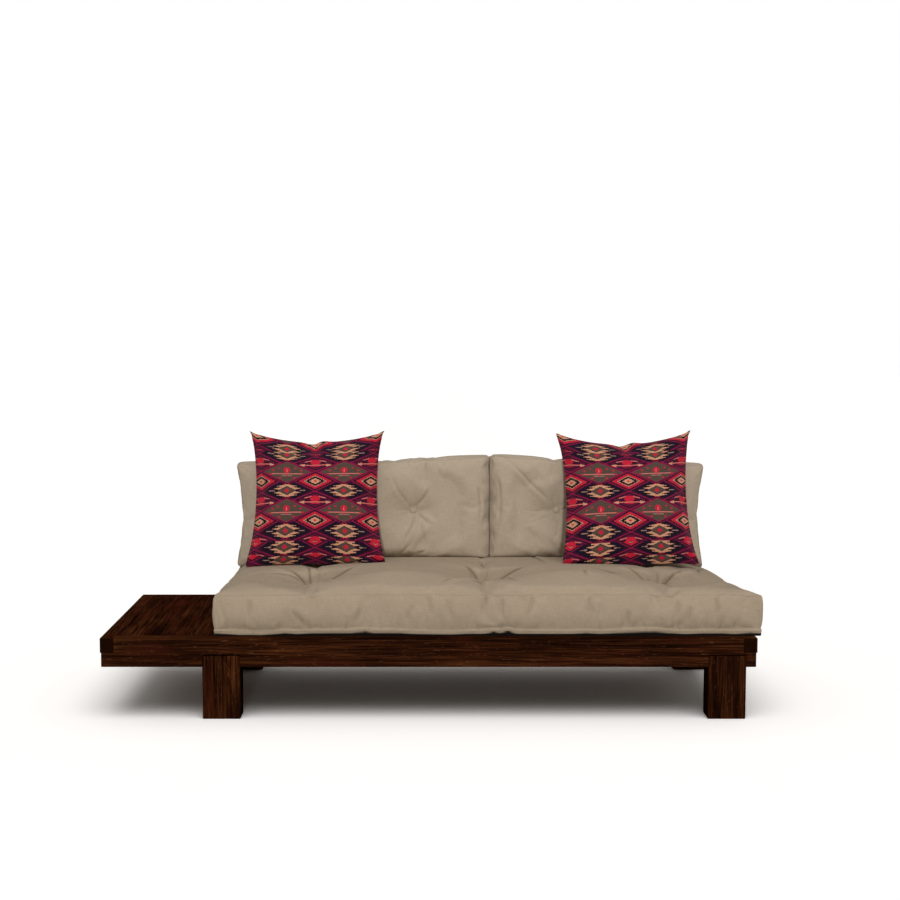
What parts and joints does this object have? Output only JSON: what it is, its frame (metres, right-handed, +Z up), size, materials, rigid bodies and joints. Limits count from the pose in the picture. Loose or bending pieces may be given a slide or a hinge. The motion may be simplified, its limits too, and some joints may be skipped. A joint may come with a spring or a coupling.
{
  "type": "divan bench",
  "caption": "Low daybed platform of dark stained timber with a boarded side table at one end, a tufted mattress, tufted back cushions and patterned throw pillows.",
  "frame": {"origin": "on the floor, under the middle of the whole bench", "axes": "+X along the bench, away from the side table; -Y is the front, where one sits down; +Z up"},
  "size_m": [2.4255, 0.9, 1.0034],
  "materials": {
    "stained_pine": "dark stain, satin",
    "black_steel": "blackened",
    "khaki_cotton": "matt plain weave",
    "kilim_weave": "matt flat weave"
  },
  "bodies": {
    "frame": {"front_rail": "stained_pine", "rear_rail": "stained_pine", "left_end_rail": "stained_pine", "right_end_rail": "stained_pine", "leg_front_left": "stained_pine", "leg_front_right": "stained_pine", "leg_rear_left": "stained_pine", "leg_rear_right": "stained_pine", "bolt_front_left_a": "black_steel", "bolt_front_left_b": "black_steel", "bolt_front_right_a": "black_steel", "bolt_front_right_b": "black_steel", "bolt_rear_left_a": "black_steel", "bolt_rear_left_b": "black_steel", "bolt_rear_right_a": "black_steel", "bolt_rear_right_b": "black_steel", "dowel_front_left": "stained_pine", "dowel_front_right": "stained_pine", "dowel_rear_left": "stained_pine", "dowel_rear_right": "stained_pine", "front_ledger": "stained_pine", "rear_ledger": "stained_pine", "table_board_1": "stained_pine", "table_board_2": "stained_pine", "table_board_3": "stained_pine", "table_board_4": "stained_pine", "table_board_5": "stained_pine", "seat_slat_01": "stained_pine", "seat_slat_02": "stained_pine", "seat_slat_03": "stained_pine", "seat_slat_04": "stained_pine", "seat_slat_05": "stained_pine", "seat_slat_06": "stained_pine", "seat_slat_07": "stained_pine", "seat_slat_08": "stained_pine", "seat_slat_09": "stained_pine", "seat_slat_10": "stained_pine", "seat_slat_11": "stained_pine", "seat_slat_12": "stained_pine", "seat_slat_13": "stained_pine", "seat_slat_14": "stained_pine", "seat_slat_15": "stained_pine"},
    "mattress": {"mattress": "khaki_cotton"},
    "back_cushion_left": {"back_cushion_left": "khaki_cotton", "button_left_cushion_left_front": "khaki_cotton", "button_left_cushion_left_rear": "khaki_cotton", "button_left_cushion_right_front": "khaki_cotton", "button_left_cushion_right_rear": "khaki_cotton"},
    "back_cushion_right": {"back_cushion_right": "khaki_cotton", "button_right_cushion_left_front": "khaki_cotton", "button_right_cushion_left_rear": "khaki_cotton", "button_right_cushion_right_front": "khaki_cotton", "button_right_cushion_right_rear": "khaki_cotton"},
    "pillow_left": {"pillow_left": "kilim_weave"},
    "pillow_right": {"pillow_right": "kilim_weave"}
  },
  "joints": [
    {"name": "mattress_lift", "type": "slide", "parent": "frame", "child": "mattress", "axis": [0, 0, 1], "range_m": [0, 0.3]},
    {"name": "back_cushion_left_lift", "type": "slide", "parent": "mattress", "child": "back_cushion_left", "axis": [0, 0, 1], "range_m": [0, 0.45]},
    {"name": "back_cushion_right_lift", "type": "slide", "parent": "mattress", "child": "back_cushion_right", "axis": [0, 0, 1], "range_m": [0, 0.45]},
    {"name": "pillow_left_lift", "type": "slide", "parent": "back_cushion_left", "child": "pillow_left", "axis": [0, -0.5, 0.866], "range_m": [0, 0.35]},
    {"name": "pillow_right_lift", "type": "slide", "parent": "back_cushion_right", "child": "pillow_right", "axis": [0, -0.5, 0.866], "range_m": [0, 0.35]}
  ]
}
